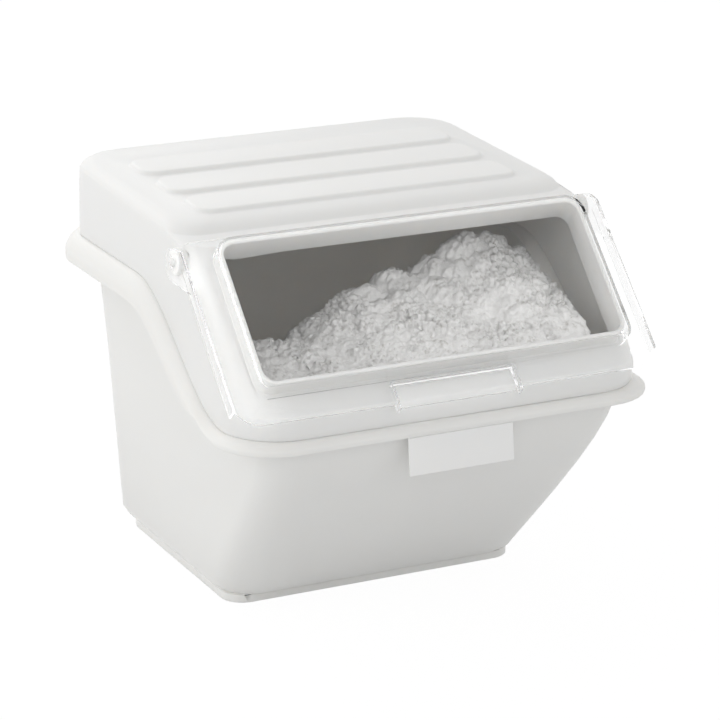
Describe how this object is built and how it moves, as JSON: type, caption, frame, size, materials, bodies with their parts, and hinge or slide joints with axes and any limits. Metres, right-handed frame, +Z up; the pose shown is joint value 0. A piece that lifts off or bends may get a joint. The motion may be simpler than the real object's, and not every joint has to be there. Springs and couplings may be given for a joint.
{
  "type": "food storage bin",
  "caption": "Slant-front food bin: tapered tub with stepped rolled rim, lift-off hood with a framed window, clear flip lid, plain label place and a heap of flour.",
  "frame": {"origin": "centre of the bounding box at floor level, under the foot", "axes": "+Z up, +Y towards the tall back, -Y towards the low front with the window, X across the width"},
  "size_m": [0.46, 0.494, 0.4115],
  "materials": {
    "tub_plastic": "satin",
    "hood_plastic": "satin",
    "clear_plastic": "gloss",
    "label_plastic": "satin",
    "flour": "matte"
  },
  "bodies": {
    "tub_body": {"tub": "tub_plastic", "label_plate": "label_plastic", "flour_heap": "flour"},
    "hood_body": {"hood": "hood_plastic"},
    "lid_body": {"flip_lid": "clear_plastic"}
  },
  "joints": [
    {"name": "hood_lift", "type": "slide", "parent": "tub_body", "child": "hood_body", "axis": [0, 0, 1], "range_m": [0, 0.16]},
    {"name": "lid_hinge", "type": "hinge", "parent": "hood_body", "child": "lid_body", "pos_m": [0, -0.0805, 0.3705], "axis": [-1, 0, 0], "range_deg": [0, 74]}
  ]
}
